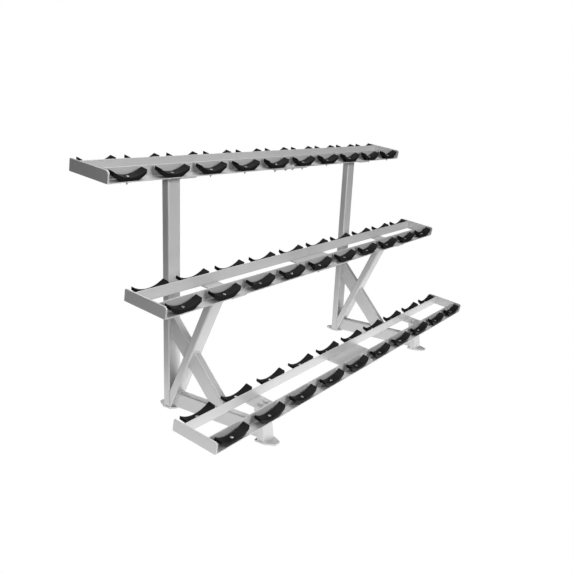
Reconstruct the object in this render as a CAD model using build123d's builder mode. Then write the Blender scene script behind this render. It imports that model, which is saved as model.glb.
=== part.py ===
"""Three-tier dumbbell rack: sloping saddle trays bolted onto two welded tube frames.

Millimetres, +Z up. X runs along the trays and the front of the rack faces -Y. The origin
is on the floor, under the middle of the rack.
"""

import os
from math import asin, atan2, cos, hypot, radians, sin, tan

from build123d import *

os.makedirs("parts", exist_ok=True)

# Trays: each tier's lower front edge is placed from the tier below it
tray_length = 2440.0
tray_depth = 216.0
tray_tilt_degrees = 8.3
bottom_tray_height = 149.0
middle_tray_rise = 464.0
top_tray_rise = 460.0
middle_tray_setback = 248.0
top_tray_setback = 285.5

# Rails: steel angle, two halves to a row, with the upright leg on the inside
rail_leg = 50.0
rail_wall = 4.0
rail_root_radius = 3.0
rail_edge_radius = 1.2
rail_joint_gap = 1.0

# End plates: flat bar with a large radius at the upper front corner
end_plate_thickness = 8.0
end_plate_nose_radius = 13.0
end_plate_corner_radius = 4.0
end_plate_edge_radius = 1.0

# Plates under the rails: one over each side frame, and one that splices the halves
cross_plate_thickness = 6.0
cross_plate_setback = 4.0
cross_plate_corner_radius = 3.0
frame_plate_length = 98.0
splice_plate_length = 300.0

# Saddles: moulded cradles in rows; heights are at the front, the seat rises to the rear
saddle_pitch = 245.5
saddle_length = 178.0
saddle_foot_length = 90.0
saddle_depth = 37.0
saddle_height = 40.0
saddle_seat_thickness = 14.0
saddle_rake_degrees = 7.0
saddle_ear_width = 4.0
saddle_ear_lip = 12.0
saddle_ear_radius = 2.8
saddle_corner_radius = 9.0
saddle_foot_radius = 16.0
saddle_plinth_length = 74.0
saddle_plinth_margin = 3.0
saddle_edge_radius = 2.0
saddle_setback = 1.0
rear_saddle_lift = 6.0

# Saddle screws and nuts
screw_radius = 3.0
screw_head_radius = 7.0
screw_head_height = 3.4
screw_head_edge_radius = 1.2
screw_socket_width = 4.0
screw_socket_depth = 2.0
screw_tail = 6.0
screw_hole_clearance = 0.4
counterbore_depth = 2.4
counterbore_clearance = 1.0
saddle_nut_width = 10.0
saddle_nut_height = 6.0

# Splice bolts and nuts
splice_bolt_radius = 4.0
splice_bolt_head_width = 13.0
splice_bolt_head_height = 5.3
splice_bolt_offset = 31.0
splice_bolt_tail = 4.0
splice_bolt_hole_clearance = 0.5
splice_nut_height = 6.5
thread_clearance = 0.1

# Frame bolts: flanged hexagon bolts that hold a tray down on a side frame
frame_bolt_radius = 6.0
frame_bolt_spacing = 36.0
frame_bolt_head_width = 18.0
frame_bolt_head_height = 8.0
frame_bolt_flange_radius = 13.0
frame_bolt_flange_height = 2.4
frame_bolt_hole_clearance = 0.5

# Side frames: one size of tube, laid either way, welded up
frame_offset = 772.0
tube_wide = 76.0
tube_narrow = 38.0
tube_wall = 3.0
tube_corner_radius = 6.0
cap_thickness = 8.0
post_setback = 106.0
support_setback = 114.0
brace_toe = 4.0
falling_brace_height = 402.0
falling_brace_reach = 280.0
leg_lean_degrees = 9.0

# Foot plates: a tongue with an anchor hole reaches out from under each frame
foot_thickness = 8.0
foot_margin = 2.0
foot_toe = 25.0
foot_heel = 14.0
foot_tongue = 47.0
foot_tongue_width = 30.0
foot_corner_radius = 7.0
foot_edge_radius = 1.0
anchor_hole_radius = 6.5
anchor_inset = 22.5

# Sizes that follow from those above
tilt = radians(tray_tilt_degrees)
half_length = tray_length / 2
front_reach = end_plate_nose_radius * (1 - cos(tilt)) + (rail_leg - end_plate_nose_radius) * sin(tilt)
tail_reach = (tray_depth - end_plate_corner_radius) * cos(tilt) + end_plate_corner_radius * (1 - sin(tilt))
overall_depth = front_reach + middle_tray_setback + top_tray_setback + tail_reach
bottom_edge_y = front_reach - overall_depth / 2
middle_edge_y = bottom_edge_y + middle_tray_setback
top_edge_y = middle_edge_y + top_tray_setback
middle_tray_height = bottom_tray_height + middle_tray_rise
top_tray_height = middle_tray_height + top_tray_rise
tiers = {
    "bottom": (bottom_edge_y, bottom_tray_height),
    "middle": (middle_edge_y, middle_tray_height),
    "top": (top_edge_y, top_tray_height),
}
rows = ("front", "rear")
sides = {"left": -1, "right": 1}

saddle_lifts = {"front": 0.0, "rear": rear_saddle_lift}
saddle_line = saddle_setback + saddle_depth / 2
saddle_rake = radians(saddle_rake_degrees)
saddle_seat_middle = saddle_seat_thickness + saddle_depth / 2 * tan(saddle_rake)
saddle_floor = saddle_seat_middle - counterbore_depth
end_room = half_length - end_plate_thickness - saddle_length / 2
saddles_per_half = int(end_room / saddle_pitch + 0.5)
saddle_places = [
    side * saddle_pitch * (place + 0.5)
    for side in sides.values()
    for place in range(saddles_per_half)
]

plate_spans = {
    "frame_plate_left": (-frame_offset, frame_plate_length),
    "frame_plate_right": (frame_offset, frame_plate_length),
    "splice_plate": (0.0, splice_plate_length),
}
support_drop = cross_plate_thickness + cap_thickness
stock_reach = top_tray_height + tray_depth
nut_reach = saddle_nut_width / 2 / cos(radians(30))
upward = (Align.CENTER, Align.CENTER, Align.MIN)
downward = (Align.CENTER, Align.CENTER, Align.MAX)


def tray_point(tier, along, up):
    """Y and Z of a point that lies so far back along a tray, and so far above its underside."""
    edge_y, edge_z = tiers[tier]
    return (
        edge_y + along * cos(tilt) - up * sin(tilt),
        edge_z + along * sin(tilt) + up * cos(tilt),
    )


def tray_plane(tier, up, x=0.0, along=0.0):
    """Plane parallel to a tray: local x is X, local y runs back up the slope."""
    return Plane(
        origin=(x, *tray_point(tier, along, up)),
        x_dir=(1, 0, 0),
        z_dir=(0, -sin(tilt), cos(tilt)),
    )


def section_plane(tier, x):
    """Cross-section of a tray: local x runs back up the slope, local y is square to it."""
    return Plane(
        origin=(x, *tray_point(tier, 0, 0)),
        x_dir=(0, cos(tilt), sin(tilt)),
        z_dir=(1, 0, 0),
    )


def across(row, along):
    """Distance back along the tray, counted from the edge that the row lies on."""
    return along if row == "front" else tray_depth - along


def reaches_under(span, x):
    """Whether a cross plate reaches under a saddle nut at x."""
    centre, length = span
    return abs(x - centre) < length / 2 + nut_reach


def plate_under(x):
    """Thickness of the cross plate under a saddle nut at x, or none."""
    covered = any(reaches_under(span, x) for span in plate_spans.values())
    return cross_plate_thickness if covered else 0.0


# Rails
for tier in tiers:
    for row in rows:
        for side, sign in sides.items():
            inner_end = rail_joint_gap / 2
            outer_end = half_length - end_plate_thickness
            start = inner_end if sign > 0 else -outer_end
            root = (across(row, rail_leg - rail_wall), rail_wall)
            outline = [
                (across(row, 0), 0),
                (across(row, rail_leg), 0),
                (across(row, rail_leg), rail_leg),
                (across(row, rail_leg - rail_wall), rail_leg),
                root,
                (across(row, 0), rail_wall),
            ]
            with BuildPart() as rail:
                with BuildSketch(section_plane(tier, start)) as angle:
                    with BuildLine():
                        Polyline(*outline, close=True)
                    make_face()
                    fillet(angle.vertices().sort_by_distance(root)[1:], rail_edge_radius)
                    fillet(angle.vertices().sort_by_distance(root)[0], rail_root_radius)
                extrude(amount=outer_end - inner_end)
                with BuildSketch(tray_plane(tier, 0)):
                    line = across(row, saddle_line)
                    with Locations(*[(x, line) for x in saddle_places if x * sign > 0]):
                        Circle(screw_radius + screw_hole_clearance)
                    with Locations((sign * splice_bolt_offset, line)):
                        Circle(splice_bolt_radius + splice_bolt_hole_clearance)
                extrude(amount=rail_wall, mode=Mode.SUBTRACT)
            rail.part.label = f"{tier}_{row}_rail_{side}"
            export_step(rail.part, f"parts/{rail.part.label}.step")

# End plates
for tier in tiers:
    for side, sign in sides.items():
        start = half_length - end_plate_thickness if sign > 0 else -half_length
        with BuildPart() as end_plate:
            with BuildSketch(section_plane(tier, start)) as face:
                with Locations((tray_depth / 2, rail_leg / 2)):
                    Rectangle(tray_depth, rail_leg)
                nose = (0, rail_leg)
                fillet(face.vertices().sort_by_distance(nose)[1:], end_plate_corner_radius)
                fillet(face.vertices().sort_by_distance(nose)[0], end_plate_nose_radius)
            extrude(amount=end_plate_thickness)
            outer_face = end_plate.faces().sort_by(Axis.X)[-1 if sign > 0 else 0]
            fillet(outer_face.edges(), end_plate_edge_radius)
        end_plate.part.label = f"{tier}_end_plate_{side}"
        export_step(end_plate.part, f"parts/{end_plate.part.label}.step")

# Side frame lines, as Y and Z
post_y = top_edge_y + post_setback
post_front = post_y - tube_narrow / 2
post_rear = post_y + tube_narrow / 2
base_top = foot_thickness + tube_wide

brace_head_y, brace_head_z = tray_point("middle", support_setback, -support_drop)
brace_toe_y = post_front - brace_toe
rise_y = brace_head_y - brace_toe_y
rise_z = brace_head_z - foot_thickness
brace_angle = atan2(rise_z, rise_y) + asin(tube_narrow / 2 / hypot(rise_y, rise_z))
brace_direction = (0, cos(brace_angle), sin(brace_angle))
brace_forward = (0, -sin(brace_angle), cos(brace_angle))
brace_backward = (0, sin(brace_angle), -cos(brace_angle))
brace_rear_y = brace_toe_y + tube_narrow / sin(brace_angle)

falling_direction = (0, falling_brace_reach, falling_brace_height - base_top)

leg_lean = radians(leg_lean_degrees)
leg_head_y, leg_head_z = tray_point("bottom", support_setback, -support_drop)
leg_direction = (0, sin(leg_lean), cos(leg_lean))
leg_foot_y = leg_head_y - (leg_head_z - foot_thickness) * tan(leg_lean)
leg_front = leg_foot_y - tube_narrow / 2 / cos(leg_lean)
leg_rear = leg_foot_y + tube_narrow / 2 / cos(leg_lean)

post_along = (post_setback - support_drop * sin(tilt)) / cos(tilt)
support_lines = {"bottom": support_setback, "middle": support_setback, "top": post_along}

# Planes that the tubes are cut to, facing the length that stays
above_foot = Plane(origin=(0, 0, foot_thickness), z_dir=(0, 0, 1))
above_base = Plane(origin=(0, 0, base_top), z_dir=(0, 0, 1))
before_post = Plane(origin=(0, post_front, 0), z_dir=(0, -1, 0))
before_brace = Plane(origin=(0, brace_toe_y, foot_thickness), z_dir=brace_forward)
behind_brace = Plane(origin=(0, brace_rear_y, foot_thickness), z_dir=brace_backward)
behind_leg = Plane(origin=(0, leg_rear, foot_thickness), z_dir=(0, cos(leg_lean), -sin(leg_lean)))
below_cap = {tier: -tray_plane(tier, -support_drop) for tier in tiers}
above_cap_foot = {tier: tray_plane(tier, -support_drop) for tier in tiers}
below_plate = {tier: -tray_plane(tier, -cross_plate_thickness) for tier in tiers}


def cut_tube(axis, size_x, size_y, ends):
    """Tube along the axis plane's normal, cut off at each of the end planes."""
    with BuildPart() as tube:
        with BuildSketch(axis):
            RectangleRounded(size_x, size_y, tube_corner_radius)
            bore_x = size_x - 2 * tube_wall
            bore_y = size_y - 2 * tube_wall
            RectangleRounded(bore_x, bore_y, tube_corner_radius - tube_wall, mode=Mode.SUBTRACT)
        extrude(amount=stock_reach, both=True)
        for end in ends:
            split(bisect_by=end, keep=Keep.TOP)
    return tube


def cap_plate(axis, tier, x):
    """Plate that closes a tube's head under a tray, tapped for the two frame bolts."""
    with BuildPart() as cap:
        with BuildSketch(axis):
            RectangleRounded(tube_wide, tube_narrow, tube_corner_radius)
        extrude(amount=stock_reach, both=True)
        split(bisect_by=above_cap_foot[tier], keep=Keep.TOP)
        split(bisect_by=below_plate[tier], keep=Keep.TOP)
        with BuildSketch(tray_plane(tier, -support_drop, x, support_lines[tier])):
            with GridLocations(frame_bolt_spacing, 0, 2, 1):
                Circle(frame_bolt_radius + thread_clearance)
        extrude(amount=cap_thickness, mode=Mode.SUBTRACT)
    return cap


def foot_plate(x, outline, hole_y):
    """Floor plate from one half of its outline, with an anchor hole in the tongue."""
    with BuildPart() as foot:
        with BuildSketch(Plane((x, 0, 0))) as plan:
            with BuildLine():
                Polyline(*outline, *[(-half_x, y) for half_x, y in reversed(outline)], close=True)
            make_face()
            fillet(plan.vertices(), foot_corner_radius)
            with Locations((0, hole_y)):
                Circle(anchor_hole_radius, mode=Mode.SUBTRACT)
        extrude(amount=foot_thickness)
        fillet(foot.faces().sort_by(Axis.Z)[-1].outer_wire().edges(), foot_edge_radius)
    return foot


# Side frames
foot_half = tube_wide / 2 + foot_margin
tongue_half = foot_tongue_width / 2
rear_foot_outline = [
    (tongue_half, post_front - foot_toe),
    (foot_half, post_front - foot_margin),
    (foot_half, post_rear + foot_margin),
    (tongue_half, post_rear + foot_tongue),
]
front_foot_outline = [
    (tongue_half, leg_front - foot_tongue),
    (foot_half, leg_front - foot_margin),
    (foot_half, leg_rear + foot_heel),
]
for side, sign in sides.items():
    x = sign * frame_offset
    post_axis = Plane((x, post_y, 0), x_dir=(1, 0, 0), z_dir=(0, 0, 1))
    brace_axis = Plane((x, brace_head_y, brace_head_z), x_dir=(1, 0, 0), z_dir=brace_direction)
    falling_axis = Plane((x, post_front, falling_brace_height), x_dir=(1, 0, 0), z_dir=falling_direction)
    base_axis = Plane((x, brace_toe_y, foot_thickness + tube_wide / 2), x_dir=(1, 0, 0), z_dir=(0, 1, 0))
    leg_axis = Plane((x, leg_head_y, leg_head_z), x_dir=(1, 0, 0), z_dir=leg_direction)
    members = {
        "post": cut_tube(post_axis, tube_wide, tube_narrow, [above_foot, below_cap["top"]]),
        "rising_brace": cut_tube(
            brace_axis, tube_wide, tube_narrow, [above_foot, before_post, below_cap["middle"]]
        ),
        "upper_falling_brace": cut_tube(
            falling_axis, tube_narrow, tube_wide, [before_post, behind_brace]
        ),
        "lower_falling_brace": cut_tube(
            falling_axis, tube_narrow, tube_wide, [above_base, before_brace]
        ),
        "base_beam": cut_tube(base_axis, tube_narrow, tube_wide, [before_brace, behind_leg]),
        "front_leg": cut_tube(leg_axis, tube_wide, tube_narrow, [above_foot, below_cap["bottom"]]),
        "post_cap": cap_plate(post_axis, "top", x),
        "brace_cap": cap_plate(brace_axis, "middle", x),
        "leg_cap": cap_plate(leg_axis, "bottom", x),
        "rear_foot": foot_plate(x, rear_foot_outline, post_rear + foot_tongue - anchor_inset),
        "front_foot": foot_plate(x, front_foot_outline, leg_front - foot_tongue + anchor_inset),
    }
    for name, member in members.items():
        member.part.label = f"{side}_{name}"
        export_step(member.part, f"parts/{member.part.label}.step")

# Cross plates, drilled for the frame bolts, the splice bolts and any screw that comes down on them
for tier in tiers:
    for name, span in plate_spans.items():
        centre, length = span
        screws_here = [x for x in saddle_places if reaches_under(span, x)]
        with BuildPart() as cross_plate:
            with BuildSketch(tray_plane(tier, -cross_plate_thickness)):
                with Locations((centre, tray_depth / 2)):
                    RectangleRounded(length, tray_depth - 2 * cross_plate_setback, cross_plate_corner_radius)
                for row in rows:
                    for x in screws_here:
                        with Locations((x, across(row, saddle_line))):
                            Circle(screw_radius + screw_hole_clearance, mode=Mode.SUBTRACT)
                if name == "splice_plate":
                    with Locations((0, tray_depth / 2)):
                        with GridLocations(2 * splice_bolt_offset, tray_depth - 2 * saddle_line, 2, 2):
                            Circle(splice_bolt_radius + splice_bolt_hole_clearance, mode=Mode.SUBTRACT)
                else:
                    with Locations((centre, support_lines[tier])):
                        with GridLocations(frame_bolt_spacing, 0, 2, 1):
                            Circle(frame_bolt_radius + frame_bolt_hole_clearance, mode=Mode.SUBTRACT)
            extrude(amount=cross_plate_thickness)
        cross_plate.part.label = f"{tier}_{name}"
        export_step(cross_plate.part, f"parts/{cross_plate.part.label}.step")


def saddle_mould(lift):
    """Saddle whose foot is at the origin, over a plinth that reaches down by the lift."""
    with BuildPart() as saddle:
        with BuildSketch(Plane.XZ.offset(saddle_depth / 2)) as profile:
            with BuildLine():
                mouth_half = saddle_length / 2 - saddle_ear_width
                ears = [
                    (mouth_half, saddle_height),
                    (saddle_length / 2, saddle_height),
                    (saddle_length / 2, saddle_height - saddle_ear_lip),
                    (saddle_foot_length / 2, 0),
                ]
                Polyline(*ears, *[(-x, z) for x, z in reversed(ears)])
                seat = (0, saddle_seat_thickness)
                ThreePointArc((-mouth_half, saddle_height), seat, (mouth_half, saddle_height))
            make_face()
            fillet(profile.vertices().sort_by(Axis.Y)[2:], saddle_ear_radius)
            fillet(profile.vertices().sort_by(Axis.Y)[:2], saddle_foot_radius)
        extrude(amount=saddle_depth / cos(saddle_rake), dir=(0, cos(saddle_rake), sin(saddle_rake)))
        side_faces = saddle.faces().sort_by(Axis.Y)
        fillet(side_faces[0].edges() + side_faces[-1].edges(), saddle_edge_radius)
        with BuildSketch(Plane.XY):
            RectangleRounded(saddle_length, saddle_depth, saddle_corner_radius)
        extrude(amount=2 * saddle_height, mode=Mode.INTERSECT)
        with BuildSketch(Plane.XY.offset(-lift)):
            Rectangle(saddle_plinth_length, saddle_depth - 2 * saddle_plinth_margin)
        extrude(amount=lift + saddle_seat_thickness / 2)
        with BuildSketch(Plane.XY.offset(-lift)):
            Circle(screw_radius + screw_hole_clearance)
        extrude(amount=lift + saddle_seat_middle, mode=Mode.SUBTRACT)
        with BuildSketch(Plane.XY.offset(saddle_floor)):
            Circle(screw_head_radius + counterbore_clearance)
        extrude(amount=saddle_height, mode=Mode.SUBTRACT)
    return saddle


# Saddles, counterbored for their screws; those at the rear stand higher
for row, lift in saddle_lifts.items():
    saddle = saddle_mould(lift)
    line = across(row, saddle_line)
    for tier in tiers:
        with BuildPart() as saddles:
            with Locations(*[tray_plane(tier, rail_wall + lift, x, line) for x in saddle_places]):
                add(saddle)
        saddles.part.label = f"{tier}_{row}_saddles"
        export_step(saddles.part, f"parts/{saddles.part.label}.step")


def hexagon(width, height, bore_radius=0.0):
    """Hexagon on the XY plane with its upper corners turned off, bored through for a nut."""
    corner_radius = width / 2 / cos(radians(30))
    with BuildPart() as blank:
        Cylinder(corner_radius, height, align=upward)
        chamfer(blank.faces().sort_by(Axis.Z)[-1].edges(), corner_radius - width / 2)
        with BuildSketch():
            RegularPolygon(width / 2, 6, major_radius=False)
        extrude(amount=height, mode=Mode.INTERSECT)
        if bore_radius:
            Hole(bore_radius)
    return blank


def saddle_screw(length):
    """Low round-headed socket screw, its head standing on the XY plane."""
    with BuildPart() as screw:
        Cylinder(screw_head_radius, screw_head_height, align=upward)
        fillet(screw.faces().sort_by(Axis.Z)[-1].edges(), screw_head_edge_radius)
        with BuildSketch(Plane.XY.offset(screw_head_height)):
            RegularPolygon(screw_socket_width / 2, 6, major_radius=False)
        extrude(amount=-screw_socket_depth, mode=Mode.SUBTRACT)
        Cylinder(screw_radius, length, align=downward)
    return screw


def screw_planes(row, up, plate):
    """Planes over a row's saddle screws that go through a plate of this thickness."""
    return [
        tray_plane(tier, up, x, across(row, saddle_line))
        for tier in tiers
        for x in saddle_places
        if plate_under(x) == plate
    ]


# Saddle screws and nuts: the screws are longer where they also go through a cross plate
plates_passed = sorted({plate_under(x) for x in saddle_places})
screw_grip = saddle_floor + rail_wall + saddle_nut_height + screw_tail
with BuildPart() as saddle_screws:
    for row, lift in saddle_lifts.items():
        for plate in plates_passed:
            screw = saddle_screw(screw_grip + lift + plate)
            with Locations(*screw_planes(row, rail_wall + lift + saddle_floor, plate)):
                add(screw)
saddle_screws.part.label = "saddle_screws"
export_step(saddle_screws.part, "parts/saddle_screws.step")

saddle_nut = hexagon(saddle_nut_width, saddle_nut_height, screw_radius + thread_clearance)
with BuildPart() as saddle_nuts:
    for row in rows:
        for plate in plates_passed:
            with Locations(*[-plane for plane in screw_planes(row, -plate, plate)]):
                add(saddle_nut)
saddle_nuts.part.label = "saddle_nuts"
export_step(saddle_nuts.part, "parts/saddle_nuts.step")

# Splice bolts and nuts
splice_places = [
    (tier, sign * splice_bolt_offset, across(row, saddle_line))
    for tier in tiers
    for row in rows
    for sign in sides.values()
]
splice_grip = rail_wall + cross_plate_thickness + splice_nut_height + splice_bolt_tail
splice_head = hexagon(splice_bolt_head_width, splice_bolt_head_height)
with BuildPart() as splice_bolt:
    add(splice_head)
    Cylinder(splice_bolt_radius, splice_grip, align=downward)
with BuildPart() as splice_bolts:
    with Locations(*[tray_plane(tier, rail_wall, x, along) for tier, x, along in splice_places]):
        add(splice_bolt)
splice_bolts.part.label = "splice_bolts"
export_step(splice_bolts.part, "parts/splice_bolts.step")

splice_nut = hexagon(splice_bolt_head_width, splice_nut_height, splice_bolt_radius + thread_clearance)
with BuildPart() as splice_nuts:
    below_splice = -cross_plate_thickness
    with Locations(*[-tray_plane(tier, below_splice, x, along) for tier, x, along in splice_places]):
        add(splice_nut)
splice_nuts.part.label = "splice_nuts"
export_step(splice_nuts.part, "parts/splice_nuts.step")

# Frame bolts
frame_bolt_places = [
    (tier, sign * frame_offset + pair * frame_bolt_spacing / 2)
    for tier in tiers
    for sign in sides.values()
    for pair in (-1, 1)
]
frame_bolt_head = hexagon(frame_bolt_head_width, frame_bolt_head_height)
with BuildPart() as frame_bolt:
    Cylinder(frame_bolt_flange_radius, frame_bolt_flange_height, align=upward)
    Cylinder(frame_bolt_radius, support_drop, align=downward)
    add(frame_bolt_head)
with BuildPart() as frame_bolts:
    with Locations(*[tray_plane(tier, 0, x, support_lines[tier]) for tier, x in frame_bolt_places]):
        add(frame_bolt)
frame_bolts.part.label = "frame_bolts"
export_step(frame_bolts.part, "parts/frame_bolts.step")
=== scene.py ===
from math import asin, atan2, cos, hypot, pi, radians, sin, tan

import bmesh
import bpy
from mathutils import Matrix, Vector


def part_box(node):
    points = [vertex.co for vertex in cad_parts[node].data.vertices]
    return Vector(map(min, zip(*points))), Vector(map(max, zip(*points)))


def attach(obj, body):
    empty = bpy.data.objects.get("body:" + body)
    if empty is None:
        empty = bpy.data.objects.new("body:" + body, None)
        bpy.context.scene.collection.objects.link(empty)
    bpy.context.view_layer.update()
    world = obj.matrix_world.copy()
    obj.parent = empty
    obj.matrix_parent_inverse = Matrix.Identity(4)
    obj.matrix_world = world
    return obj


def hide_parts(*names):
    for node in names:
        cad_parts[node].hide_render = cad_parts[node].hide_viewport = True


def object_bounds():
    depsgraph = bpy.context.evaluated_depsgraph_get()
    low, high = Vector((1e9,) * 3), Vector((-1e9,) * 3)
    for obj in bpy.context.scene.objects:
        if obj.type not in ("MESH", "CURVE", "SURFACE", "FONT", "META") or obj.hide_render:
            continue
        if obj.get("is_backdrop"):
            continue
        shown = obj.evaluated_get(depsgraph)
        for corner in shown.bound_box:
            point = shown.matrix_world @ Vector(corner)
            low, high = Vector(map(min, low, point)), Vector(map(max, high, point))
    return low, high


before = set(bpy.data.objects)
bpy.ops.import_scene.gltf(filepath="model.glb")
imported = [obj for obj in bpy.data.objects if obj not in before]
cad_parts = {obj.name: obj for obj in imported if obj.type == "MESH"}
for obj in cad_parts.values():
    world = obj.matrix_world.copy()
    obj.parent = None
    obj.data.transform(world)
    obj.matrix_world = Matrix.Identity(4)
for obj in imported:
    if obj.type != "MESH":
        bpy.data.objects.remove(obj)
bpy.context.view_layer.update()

# Foot plates
# Flat steel plates, cut to a tongue that takes a floor anchor, and powder coated silver-grey with
# the frame that is welded onto them. The coat is satin, with fine flake and a faint orange peel.
paint_colour = (0.53, 0.53, 0.532, 1.0)
paint_shade = (0.48, 0.48, 0.482, 1.0)
paint_metallic = 0.45
paint_roughness = (0.34, 0.44)
paint_cloud_scale = 9.0
paint_peel_scale = 420.0
paint_flake_scale = 2600.0
paint_peel_depth = 0.00012


def new_material(name):
    """Empty node material with a Principled shader, and its node tree."""
    material = bpy.data.materials.new(name)
    material.use_nodes = True
    tree = material.node_tree
    return material, tree, tree.nodes["Principled BSDF"]


def noise(tree, scale, detail=3.0, roughness=0.5):
    """Noise over the object's own coordinates, so that it stays put on the piece."""
    place = tree.nodes.new("ShaderNodeTexCoord")
    texture = tree.nodes.new("ShaderNodeTexNoise")
    texture.inputs["Scale"].default_value = scale
    texture.inputs["Detail"].default_value = detail
    texture.inputs["Roughness"].default_value = roughness
    tree.links.new(place.outputs["Object"], texture.inputs["Vector"])
    return texture.outputs["Fac"]


def colour_between(tree, factor, low, high, start=0.3, end=0.7):
    """Colour ramp from one colour to another."""
    ramp = tree.nodes.new("ShaderNodeValToRGB")
    ramp.color_ramp.elements[0].position = start
    ramp.color_ramp.elements[0].color = low
    ramp.color_ramp.elements[1].position = end
    ramp.color_ramp.elements[1].color = high
    tree.links.new(factor, ramp.inputs["Fac"])
    return ramp.outputs["Color"]


def value_between(tree, factor, low, high):
    """A number that follows a texture from low to high."""
    span = tree.nodes.new("ShaderNodeMapRange")
    span.inputs["To Min"].default_value = low
    span.inputs["To Max"].default_value = high
    tree.links.new(factor, span.inputs["Value"])
    return span.outputs["Result"]


def bump(tree, height, depth, below=None):
    """Bump from a height texture, stacked on another bump if one is given."""
    node = tree.nodes.new("ShaderNodeBump")
    node.inputs["Strength"].default_value = 1.0
    node.inputs["Distance"].default_value = depth
    tree.links.new(height, node.inputs["Height"])
    if below is not None:
        tree.links.new(below, node.inputs["Normal"])
    return node.outputs["Normal"]


def silver_coat():
    """Silver-grey powder coat with metal flake."""
    material, tree, shader = new_material("silver_coat")
    flake = noise(tree, paint_flake_scale, detail=1.0)
    colour = colour_between(tree, flake, paint_shade, paint_colour)
    cloud = noise(tree, paint_cloud_scale)
    tree.links.new(colour, shader.inputs["Base Color"])
    tree.links.new(value_between(tree, cloud, *paint_roughness), shader.inputs["Roughness"])
    peel = bump(tree, noise(tree, paint_peel_scale, detail=2.0), paint_peel_depth)
    tree.links.new(peel, shader.inputs["Normal"])
    shader.inputs["Metallic"].default_value = paint_metallic
    return material


def dress(material, *names):
    """Gives CAD nodes a finish."""
    for name in names:
        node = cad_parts[name]
        node.data.materials.clear()
        node.data.materials.append(material)


sides = {"left": -1, "right": 1}
coat = silver_coat()
dress(coat, *[f"{side}_{foot}" for side in sides for foot in ("rear_foot", "front_foot")])

# Side frame tubes
# Rectangular steel tube, saw-cut and mitred: post, rising brace, the two falling braces, base beam
# and front leg. All are welded up and coated as one frame, and capped where a tray bolts on.
frame_members = (
    "post", "rising_brace", "upper_falling_brace", "lower_falling_brace",
    "base_beam", "front_leg", "post_cap", "brace_cap", "leg_cap",
)
dress(coat, *[f"{side}_{member}" for side in sides for member in frame_members])

# Weld beads
# Fillet welds run round every tube of a side frame where it meets a foot plate or another tube.
# They are coated over with the frame.
tray_tilt = radians(8.3)
tube_wide = 0.076
tube_narrow = 0.038
tube_corner = 0.006
corner_steps = 5
leg_lean = radians(9.0)
falling_height = 0.402
falling_reach = 0.280
brace_toe = 0.004
bead_radius = 0.0026
bead_ripple = 0.14
bead_pitch = 0.0034
bead_step = 0.0009
bead_sides = 8


def geometry_tree(name, sockets):
    """Geometry tree with named inputs, its end nodes, and the identifier of each input."""
    tree = bpy.data.node_groups.new(name, "GeometryNodeTree")
    tree.interface.new_socket("Geometry", in_out="INPUT", socket_type="NodeSocketGeometry")
    tree.interface.new_socket("Geometry", in_out="OUTPUT", socket_type="NodeSocketGeometry")
    keys = {
        label: tree.interface.new_socket(label, in_out="INPUT", socket_type=kind).identifier
        for label, kind in sockets.items()
    }
    return tree, tree.nodes.new("NodeGroupInput"), tree.nodes.new("NodeGroupOutput"), keys


def maths(tree, operation, first, second):
    """Math node; each operand is a socket or a number."""
    node = tree.nodes.new("ShaderNodeMath")
    node.operation = operation
    for socket, operand in zip(node.inputs, (first, second)):
        if isinstance(operand, (int, float)):
            socket.default_value = operand
        else:
            tree.links.new(operand, socket)
    return node.outputs[0]


def bead_tree():
    """Rippled bead along the edges of a mesh."""
    tree, start, end, keys = geometry_tree("weld_bead", {
        "Radius": "NodeSocketFloat",
        "Ripple": "NodeSocketFloat",
        "Pitch": "NodeSocketFloat",
        "Step": "NodeSocketFloat",
        "Sides": "NodeSocketInt",
        "Material": "NodeSocketMaterial",
    })
    line = tree.nodes.new("GeometryNodeMeshToCurve")
    points = tree.nodes.new("GeometryNodeResampleCurve")
    points.mode = "LENGTH"
    place = tree.nodes.new("GeometryNodeSplineParameter")
    ring = tree.nodes.new("GeometryNodeCurvePrimitiveCircle")
    ring.inputs["Radius"].default_value = 1.0
    sweep = tree.nodes.new("GeometryNodeCurveToMesh")
    sweep.inputs["Fill Caps"].default_value = True
    whole = tree.nodes.new("GeometryNodeRealizeInstances")
    finish = tree.nodes.new("GeometryNodeSetMaterial")
    turns = maths(tree, "DIVIDE", place.outputs["Length"], start.outputs["Pitch"])
    wave = maths(tree, "SINE", maths(tree, "MULTIPLY", turns, 2 * pi), 0.0)
    share = maths(tree, "ADD", maths(tree, "MULTIPLY", wave, start.outputs["Ripple"]), 1.0)
    radius = maths(tree, "MULTIPLY", share, start.outputs["Radius"])
    tree.links.new(start.outputs["Geometry"], line.inputs["Mesh"])
    tree.links.new(line.outputs["Curve"], points.inputs["Curve"])
    tree.links.new(start.outputs["Step"], points.inputs["Length"])
    tree.links.new(points.outputs["Curve"], sweep.inputs["Curve"])
    tree.links.new(radius, sweep.inputs["Scale"])
    tree.links.new(start.outputs["Sides"], ring.inputs["Resolution"])
    tree.links.new(ring.outputs["Curve"], sweep.inputs["Profile Curve"])
    tree.links.new(sweep.outputs["Mesh"], whole.inputs["Geometry"])
    tree.links.new(whole.outputs["Geometry"], finish.inputs["Geometry"])
    tree.links.new(start.outputs["Material"], finish.inputs["Material"])
    tree.links.new(finish.outputs["Geometry"], end.inputs["Geometry"])
    return tree, keys


def grown(name, mesh, tree, keys, values):
    """Object whose mesh is what a geometry tree makes of a start mesh."""
    piece = bpy.data.objects.new(name, mesh)
    modifier = piece.modifiers.new(tree.name, "NODES")
    modifier.node_group = tree
    for label, value in values.items():
        modifier[keys[label]] = value
    bpy.context.scene.collection.objects.link(piece)
    graph = bpy.context.evaluated_depsgraph_get()
    made = bpy.data.meshes.new_from_object(piece.evaluated_get(graph))
    piece.modifiers.remove(modifier)
    piece.data = made
    return piece


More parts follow.
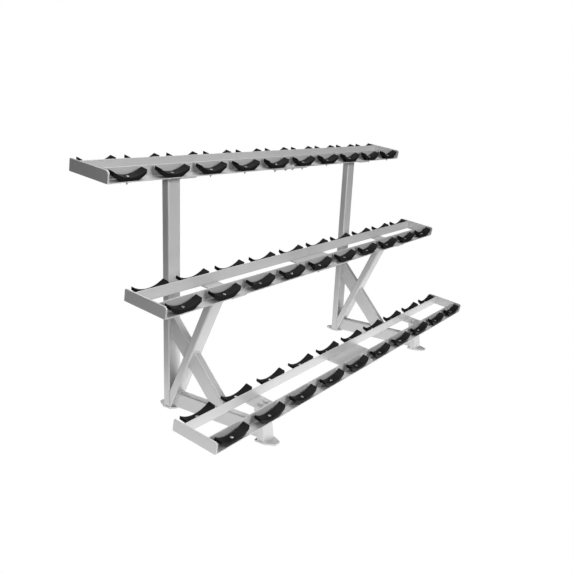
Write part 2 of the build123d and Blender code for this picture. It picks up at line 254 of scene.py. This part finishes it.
def rounded_rectangle(size_x, size_y, radius):
    """Points round a rectangle with rounded corners, centred on the origin."""
    points = []
    for quarter, (turn_x, turn_y) in enumerate(((1, 1), (-1, 1), (-1, -1), (1, -1))):
        centre_x = turn_x * (size_x / 2 - radius)
        centre_y = turn_y * (size_y / 2 - radius)
        for step in range(corner_steps + 1):
            angle = (quarter + step / corner_steps) * pi / 2
            points.append(Vector((centre_x + radius * cos(angle), centre_y + radius * sin(angle))))
    return points


def tube_seam(place, axis, size_x, size_y, planes):
    """Closed line where a tube that runs off along its axis stands on planes of (point, normal)."""
    axis = Vector(axis).normalized()
    across = Vector((1, 0, 0))
    line = []
    for x, y in rounded_rectangle(size_x, size_y, tube_corner):
        point = Vector(place) + across * x + axis.cross(across) * y
        reach = max((Vector(p) - point).dot(Vector(n)) / axis.dot(Vector(n)) for p, n in planes)
        line.append(point + axis * reach)
    return line + line[:1]


def line_mesh(name, lines):
    """Mesh of bare edges, one open chain for each line of points."""
    mesh = bpy.data.meshes.new(name)
    points, edges = [], []
    for line in lines:
        edges += [(len(points) + i, len(points) + i + 1) for i in range(len(line) - 1)]
        points += line
    mesh.from_pydata(points, edges, [])
    return mesh


def frame_seams(side):
    """Every welded joint of one side frame."""
    x = (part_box(f"{side}_post")[0].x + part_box(f"{side}_post")[1].x) / 2
    post_low, post_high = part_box(f"{side}_post")
    foot_top = post_low.z
    post_y = (post_low.y + post_high.y) / 2
    base_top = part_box(f"{side}_base_beam")[1].z
    base_z = (foot_top + base_top) / 2
    cap_low, cap_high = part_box(f"{side}_brace_cap")
    head_y, head_z = (cap_low.y + cap_high.y) / 2, (cap_low.z + cap_high.z) / 2
    toe_y = post_low.y - brace_toe
    rise_y, rise_z = head_y - toe_y, head_z - foot_top
    brace_angle = atan2(rise_z, rise_y) + asin(tube_narrow / 2 / hypot(rise_y, rise_z))
    brace = Vector((0, cos(brace_angle), sin(brace_angle)))
    brace_forward = Vector((0, -sin(brace_angle), cos(brace_angle)))
    leg = Vector((0, sin(leg_lean), cos(leg_lean)))
    leg_backward = Vector((0, cos(leg_lean), -sin(leg_lean)))
    leg_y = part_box(f"{side}_front_leg")[0].y + tube_narrow / 2 / cos(leg_lean)
    falling = Vector((0, falling_reach, falling_height - base_top))
    falling_head = (x, post_low.y, falling_height)
    floor_plane = ((x, 0, foot_top), (0, 0, 1))
    post_plane = (falling_head, (0, 1, 0))
    brace_front = ((x, toe_y, foot_top), brace_forward)
    brace_rear = (Vector((x, toe_y, foot_top)) - brace_forward * tube_narrow, brace_forward)
    leg_rear = ((x, leg_y + tube_narrow / 2 / cos(leg_lean), foot_top), leg_backward)
    return [
        tube_seam((x, post_y, foot_top), (0, 0, 1), tube_wide, tube_narrow, [floor_plane]),
        tube_seam((x, leg_y, foot_top), leg, tube_wide, tube_narrow, [floor_plane]),
        tube_seam((x, head_y, head_z), brace, tube_wide, tube_narrow, [floor_plane, post_plane]),
        tube_seam((x, toe_y, base_z), (0, -1, 0), tube_narrow, tube_wide, [brace_front]),
        tube_seam((x, leg_y, base_z), (0, 1, 0), tube_narrow, tube_wide, [leg_rear]),
        tube_seam(falling_head, -falling, tube_narrow, tube_wide, [post_plane]),
        tube_seam(falling_head, falling, tube_narrow, tube_wide, [brace_rear]),
        tube_seam(falling_head, -falling, tube_narrow, tube_wide, [brace_front]),
        tube_seam(falling_head, falling, tube_narrow, tube_wide, [((x, 0, base_top), (0, 0, 1))]),
    ]


weld_tree, weld_keys = bead_tree()
weld_values = {
    "Radius": bead_radius,
    "Ripple": bead_ripple,
    "Pitch": bead_pitch,
    "Step": bead_step,
    "Sides": bead_sides,
    "Material": coat,
}
for side in sides:
    seams = line_mesh(f"{side}_frame_seams", frame_seams(side))
    beads = grown(f"{side}_frame_welds", seams, weld_tree, weld_keys, weld_values)
    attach(beads, "root")

# Cross plates
# Flat plates across the underside of each tray: one over each side frame, and a longer one that
# splices the two halves of the tray at mid length. Coated like the rails.
tiers = ("bottom", "middle", "top")
plates = ("frame_plate_left", "frame_plate_right", "splice_plate")
dress(coat, *[f"{tier}_{plate}" for tier in tiers for plate in plates])

# Rails
# Equal-leg steel angle with the upright leg on the inside, in two halves that butt at mid length.
# They lie on the cross plates and end on the end plates, and have the same silver-grey coat.
rows = ("front", "rear")
dress(coat, *[f"{tier}_{row}_rail_{side}" for tier in tiers for row in rows for side in sides])

# End plates
# Flat steel bar across the ends of each tray, with the upper front corner rounded off. Welded to
# the ends of the rails and coated with them.
dress(coat, *[f"{tier}_end_plate_{side}" for tier in tiers for side in sides])

# Fasteners
# Zinc-plated steel. The saddle screws and nuts and the splice nuts are bright, and the splice bolts
# and the flanged frame bolts that hold the trays down on the side frames are passivated dull.
zinc_colour = (0.56, 0.56, 0.55, 1.0)
zinc_shade = (0.44, 0.44, 0.43, 1.0)
zinc_cloud_scale = 260.0
bright_zinc = {"roughness": (0.22, 0.36), "metallic": 1.0}
dull_zinc = {"roughness": (0.52, 0.62), "metallic": 0.5}


def zinc_plate(name, roughness, metallic):
    """Zinc plate, slightly cloudy."""
    material, tree, shader = new_material(name)
    cloud = noise(tree, zinc_cloud_scale)
    colour = colour_between(tree, cloud, zinc_shade, zinc_colour)
    tree.links.new(colour, shader.inputs["Base Color"])
    tree.links.new(value_between(tree, cloud, *roughness), shader.inputs["Roughness"])
    shader.inputs["Metallic"].default_value = metallic
    return material


dress(zinc_plate("bright_zinc", **bright_zinc), "saddle_screws", "saddle_nuts", "splice_nuts")
dress(zinc_plate("dull_zinc", **dull_zinc), "splice_bolts", "frame_bolts")

# Saddles
# Moulded cradles in matte black plastic, ten to a rail, each held by one screw through its seat.
# The foot stands on a plinth, which is taller on the rear rails.
saddle_colour = (0.006, 0.006, 0.0063, 1.0)
saddle_shade = (0.004, 0.004, 0.0042, 1.0)
saddle_roughness = (0.46, 0.58)
saddle_gloss = 0.08
saddle_cloud_scale = 30.0
saddle_grain_scale = 900.0
saddle_grain_depth = 0.00015


def saddle_plastic():
    """Matte black plastic with a fine moulded grain."""
    material, tree, shader = new_material("saddle_plastic")
    cloud = noise(tree, saddle_cloud_scale)
    grain = noise(tree, saddle_grain_scale, detail=2.0)
    colour = colour_between(tree, cloud, saddle_shade, saddle_colour)
    tree.links.new(colour, shader.inputs["Base Color"])
    tree.links.new(value_between(tree, cloud, *saddle_roughness), shader.inputs["Roughness"])
    tree.links.new(bump(tree, grain, saddle_grain_depth), shader.inputs["Normal"])
    shader.inputs["Specular IOR Level"].default_value = saddle_gloss
    return material


saddle_length = 0.178
saddle_foot_length = 0.090
saddle_height = 0.040
saddle_depth = 0.037
saddle_seat = 0.014
saddle_rake = radians(7.0)
saddle_ear_width = 0.004
saddle_ear_lip = 0.012
ear_tip_round = 0.0026
ear_mouth_round = 0.0008
ear_lip_round = 0.0034
foot_round = 0.0070
saddle_corner = 0.009
saddle_edge = 0.0014
saddle_edge_steps = 3
saddle_edge_angle = radians(50)
saddle_smooth_angle = radians(40)
seat_steps = 28
plinth_size = (0.074, 0.031, 0.007)
saddle_lifts = {"front": 0.0, "rear": 0.006}
recess_radius = 0.008
recess_depth = 0.0024
recess_sides = 40
recess_edge = 0.0006
recess_edge_steps = 2
recess_edge_angle = radians(55)
saddle_count = 10


def softened(corners, steps=4):
    """Outline with each corner of (x, z, radius) rounded off over a few points."""
    points = []
    for i, (x, z, radius) in enumerate(corners):
        corner = Vector((x, z))
        if not radius:
            points.append(corner)
            continue
        before = Vector(corners[i - 1][:2])
        after = Vector(corners[(i + 1) % len(corners)][:2])
        start = corner + (before - corner).normalized() * radius
        end = corner + (after - corner).normalized() * radius
        for step in range(steps + 1):
            t = step / steps
            points.append(start * (1 - t) ** 2 + corner * 2 * t * (1 - t) + end * t * t)
    return points


def saddle_outline():
    """Front of a saddle, standing on its foot: flat foot, flared ears and a round seat."""
    half, foot = saddle_length / 2, saddle_foot_length / 2
    mouth = half - saddle_ear_width
    rise = saddle_height - saddle_seat
    seat_radius = (mouth ** 2 + rise ** 2) / (2 * rise)
    seat_half_angle = asin(mouth / seat_radius)
    seat = []
    for step in range(1, seat_steps):
        angle = seat_half_angle * (1 - 2 * step / seat_steps)
        seat.append((seat_radius * sin(angle), saddle_seat + seat_radius * (1 - cos(angle)), 0))
    left = [
        (-mouth, saddle_height, ear_mouth_round),
        (-half, saddle_height, ear_tip_round),
        (-half, saddle_height - saddle_ear_lip, ear_lip_round),
        (-foot, 0, foot_round),
    ]
    right = [(-x, z, radius) for x, z, radius in reversed(left)]
    return softened(left + right + seat)


def prism(name, outline, depth, rise):
    """Mesh of an (x, z) outline drawn out along y and rising to the rear, centred on y."""
    mesh = bpy.data.meshes.new(name)
    shape = bmesh.new()
    front = [shape.verts.new((p.x, -depth / 2, p.y)) for p in outline]
    back = [shape.verts.new((p.x, depth / 2, p.y + rise)) for p in outline]
    shape.faces.new(front)
    shape.faces.new(reversed(back))
    for i in range(len(outline)):
        j = (i + 1) % len(outline)
        shape.faces.new((front[j], front[i], back[i], back[j]))
    bmesh.ops.recalc_face_normals(shape, faces=shape.faces)
    shape.to_mesh(mesh)
    shape.free()
    return mesh


def scratch_object(name, mesh):
    """Object that only serves to make another, and is removed afterwards."""
    made = bpy.data.objects.new(name, mesh)
    bpy.context.scene.collection.objects.link(made)
    return made


def settled_mesh(made):
    """The mesh of an object with its modifiers applied; the object itself goes."""
    graph = bpy.context.evaluated_depsgraph_get()
    mesh = bpy.data.meshes.new_from_object(made.evaluated_get(graph))
    bpy.data.objects.remove(made)
    return mesh


def rounded_edges(made, width, steps, angle):
    """Bevel on the edges that turn by more than an angle."""
    bevel = made.modifiers.new("rounded", "BEVEL")
    bevel.width = width
    bevel.segments = steps
    bevel.limit_method = "ANGLE"
    bevel.angle_limit = angle


def shaped_by(made, operation, tool):
    """Boolean of an object with a scratch object."""
    shaping = made.modifiers.new(operation, "BOOLEAN")
    shaping.operation = operation
    shaping.object = tool
    shaping.solver = "EXACT"


def saddle_mould(lift):
    """One saddle with its foot at the origin, over a plinth that reaches down by the lift."""
    rise = saddle_depth * tan(saddle_rake)
    made = scratch_object("saddle", prism("saddle", saddle_outline(), saddle_depth, rise))
    rounded_edges(made, saddle_edge, saddle_edge_steps, saddle_edge_angle)
    bpy.ops.mesh.primitive_cylinder_add(
        vertices=recess_sides, radius=recess_radius, depth=saddle_height,
        location=(0, 0, saddle_seat + rise / 2 - recess_depth + saddle_height / 2),
    )
    drill = bpy.context.object
    plan = rounded_rectangle(saddle_length, saddle_depth, saddle_corner)
    block = scratch_object("saddle_block", prism("saddle_block", plan, 4 * saddle_height, 0.0))
    block.rotation_euler.x = pi / 2
    shaped_by(made, "INTERSECT", block)
    shaped_by(made, "DIFFERENCE", drill)
    rounded_edges(made, recess_edge, recess_edge_steps, recess_edge_angle)
    mesh = settled_mesh(made)
    bpy.data.objects.remove(drill)
    bpy.data.objects.remove(block)
    shape = bmesh.new()
    shape.from_mesh(mesh)
    plinth = Vector(plinth_size) + Vector((0, 0, lift))
    plinth_place = Matrix.LocRotScale((0, 0, plinth.z / 2 - lift), None, plinth)
    bmesh.ops.create_cube(shape, size=1.0, matrix=plinth_place)
    shape.to_mesh(mesh)
    shape.free()
    mesh.shade_smooth()
    mesh.set_sharp_from_angle(angle=saddle_smooth_angle)
    return mesh


def places_tree():
    """One piece set on every point of a mesh, tilted with the tray."""
    tree, start, end, keys = geometry_tree("set_in_places", {
        "Piece": "NodeSocketObject",
        "Tilt": "NodeSocketFloat",
        "Material": "NodeSocketMaterial",
    })
    piece = tree.nodes.new("GeometryNodeObjectInfo")
    lean = tree.nodes.new("ShaderNodeCombineXYZ")
    copies = tree.nodes.new("GeometryNodeInstanceOnPoints")
    whole = tree.nodes.new("GeometryNodeRealizeInstances")
    finish = tree.nodes.new("GeometryNodeSetMaterial")
    tree.links.new(start.outputs["Piece"], piece.inputs["Object"])
    tree.links.new(start.outputs["Tilt"], lean.inputs["X"])
    tree.links.new(start.outputs["Geometry"], copies.inputs["Points"])
    tree.links.new(piece.outputs["Geometry"], copies.inputs["Instance"])
    tree.links.new(lean.outputs["Vector"], copies.inputs["Rotation"])
    tree.links.new(copies.outputs["Instances"], whole.inputs["Geometry"])
    tree.links.new(whole.outputs["Geometry"], finish.inputs["Geometry"])
    tree.links.new(start.outputs["Material"], finish.inputs["Material"])
    tree.links.new(finish.outputs["Geometry"], end.inputs["Geometry"])
    return tree, keys


def point_mesh(name, points):
    """Mesh of loose points."""
    mesh = bpy.data.meshes.new(name)
    mesh.from_pydata(points, [], [])
    return mesh


plastic = saddle_plastic()
place_tree, place_keys = places_tree()
for row, lift in saddle_lifts.items():
    saddle_master = scratch_object(f"{row}_saddle_master", saddle_mould(lift))
    lean = Matrix.Rotation(tray_tilt, 3, "X")
    leaning = [lean @ vertex.co for vertex in saddle_master.data.vertices]
    middle_y = (min(v.y for v in leaning) + max(v.y for v in leaning)) / 2
    middle_z = (min(v.z for v in leaning) + max(v.z for v in leaning)) / 2
    values = {"Piece": saddle_master, "Tilt": tray_tilt, "Material": plastic}
    for tier in tiers:
        node = f"{tier}_{row}_saddles"
        low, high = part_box(node)
        first_x = low.x + saddle_length / 2
        pitch = (high.x - low.x - saddle_length) / (saddle_count - 1)
        y, z = (low.y + high.y) / 2 - middle_y, (low.z + high.z) / 2 - middle_z
        seats = point_mesh(node, [(first_x + pitch * i, y, z) for i in range(saddle_count)])
        saddles = grown(f"{tier}_{row}_cradles", seats, place_tree, place_keys, values)
        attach(saddles, "root")
        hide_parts(node)
    bpy.data.objects.remove(saddle_master)

# Studio
# A plain floor with a painted glow: a long pool of light under the rack that the floor itself
# emits, though it is no lamp. A dim surround and softboxes, with the camera at the photograph's
# place. Seen directly, floor and surround are pure white.
white = (1.0, 1.0, 1.0, 1.0)
floor_size = 60.0
floor_colour = (0.25, 0.25, 0.25, 1.0)
floor_roughness = 0.9
floor_glow = 1.1
floor_glow_stretch = (0.34, 1.25, 1.0)
floor_glow_reach = (0.6, 1.15)
surround_light = 0.06
softboxes = {
    "key": ((0.9, -5.8, 2.5), (0, 0, 0.6), 1.6, 300),
    "top": ((-0.3, -0.4, 4.6), (0, 0, 0), 3.6, 190),
    "rear": ((4.2, 3.4, 4.2), (0, 0, 0.5), 3.0, 60),
    "edge": ((-3.7, -2.5, 1.9), (0, 0, 0.6), 0.4, 50),
    "back": ((0.5, 5.4, 2.4), (0, 0, 0.6), 2.4, 110),
}


def white_when_seen(tree, shader, backing, output):
    """Shows the white backing to the camera and lights the scene with the shader."""
    rays = tree.nodes.new("ShaderNodeLightPath")
    choice = tree.nodes.new("ShaderNodeMixShader")
    tree.links.new(rays.outputs["Is Camera Ray"], choice.inputs["Fac"])
    tree.links.new(shader.outputs[0], choice.inputs[1])
    tree.links.new(backing.outputs[0], choice.inputs[2])
    tree.links.new(choice.outputs[0], output.inputs["Surface"])


bpy.ops.mesh.primitive_plane_add(size=floor_size, location=(0, 0, 0))
floor = bpy.context.object
floor.name = "floor"
floor_material, floor_tree, floor_shader = new_material("white_floor")
floor_shader.inputs["Base Color"].default_value = floor_colour
floor_shader.inputs["Roughness"].default_value = floor_roughness
floor_white = floor_tree.nodes.new("ShaderNodeEmission")
floor_place = floor_tree.nodes.new("ShaderNodeTexCoord")
floor_squeeze = floor_tree.nodes.new("ShaderNodeVectorMath")
floor_squeeze.operation = "MULTIPLY"
floor_squeeze.inputs[1].default_value = floor_glow_stretch
floor_reach = floor_tree.nodes.new("ShaderNodeVectorMath")
floor_reach.operation = "LENGTH"
floor_fade = floor_tree.nodes.new("ShaderNodeMapRange")
floor_fade.interpolation_type = "SMOOTHSTEP"
floor_fade.inputs["From Min"].default_value = floor_glow_reach[0]
floor_fade.inputs["From Max"].default_value = floor_glow_reach[1]
floor_fade.inputs["To Min"].default_value = floor_glow
floor_fade.inputs["To Max"].default_value = 0.0
# Painted glow: the floor emits light of its own in a long patch under the rack, fading outwards.
floor_painted_glow = floor_tree.nodes.new("ShaderNodeEmission")
floor_both = floor_tree.nodes.new("ShaderNodeAddShader")
floor_tree.links.new(floor_place.outputs["Object"], floor_squeeze.inputs[0])
floor_tree.links.new(floor_squeeze.outputs["Vector"], floor_reach.inputs[0])
floor_tree.links.new(floor_reach.outputs["Value"], floor_fade.inputs["Value"])
floor_tree.links.new(floor_fade.outputs["Result"], floor_painted_glow.inputs["Strength"])
floor_tree.links.new(floor_shader.outputs[0], floor_both.inputs[0])
floor_tree.links.new(floor_painted_glow.outputs[0], floor_both.inputs[1])
white_when_seen(floor_tree, floor_both, floor_white, floor_tree.nodes["Material Output"])
floor.data.materials.append(floor_material)
floor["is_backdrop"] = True

world = bpy.data.worlds.new("studio")
bpy.context.scene.world = world
world.use_nodes = True
surround = world.node_tree.nodes["Background"]
surround.inputs["Color"].default_value = white
surround.inputs["Strength"].default_value = surround_light
backdrop = world.node_tree.nodes.new("ShaderNodeBackground")
backdrop.inputs["Color"].default_value = white
white_when_seen(world.node_tree, surround, backdrop, world.node_tree.nodes["World Output"])


def soft_light(name, place, target, size, power):
    """Square softbox that faces a point."""
    data = bpy.data.lights.new(name, "AREA")
    data.shape = "SQUARE"
    data.size = size
    data.energy = power
    lamp = bpy.data.objects.new(name, data)
    bpy.context.scene.collection.objects.link(lamp)
    lamp.location = place
    lamp.rotation_euler = (Vector(target) - Vector(place)).to_track_quat("-Z", "Y").to_euler()


for name, (place, target, size, power) in softboxes.items():
    soft_light(name, place, target, size, power)

image_size = 574
sensor_width = 36.0
view_depth = 200.0
camera_place = Vector((-2.92305, -1.77632, 1.37597))
camera_yaw = radians(54.812)
camera_pitch = radians(17.894)
camera_roll = radians(2.299)
focal_pixels = 677.25
centre_pixel = (266.54, 322.85)
camera_data = bpy.data.cameras.new("camera")
camera_data.sensor_width = sensor_width
camera_data.lens = focal_pixels * sensor_width / image_size
camera_data.shift_x = (image_size / 2 - centre_pixel[0]) / image_size
camera_data.shift_y = (centre_pixel[1] - image_size / 2) / image_size
camera_data.clip_end = view_depth
camera = bpy.data.objects.new("camera", camera_data)
bpy.context.scene.collection.objects.link(camera)
forward = Vector((
    sin(camera_yaw) * cos(camera_pitch),
    cos(camera_yaw) * cos(camera_pitch),
    -sin(camera_pitch),
))
level_right = Vector((cos(camera_yaw), -sin(camera_yaw), 0))
level_up = level_right.cross(forward)
right = level_right * cos(camera_roll) + level_up * sin(camera_roll)
up = level_up * cos(camera_roll) - level_right * sin(camera_roll)
camera_turn = Matrix((right, up, -forward)).transposed().to_4x4()
camera.matrix_world = Matrix.Translation(camera_place) @ camera_turn
bpy.context.scene.camera = camera
bpy.context.scene.view_settings.view_transform = "Standard"

low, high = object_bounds()
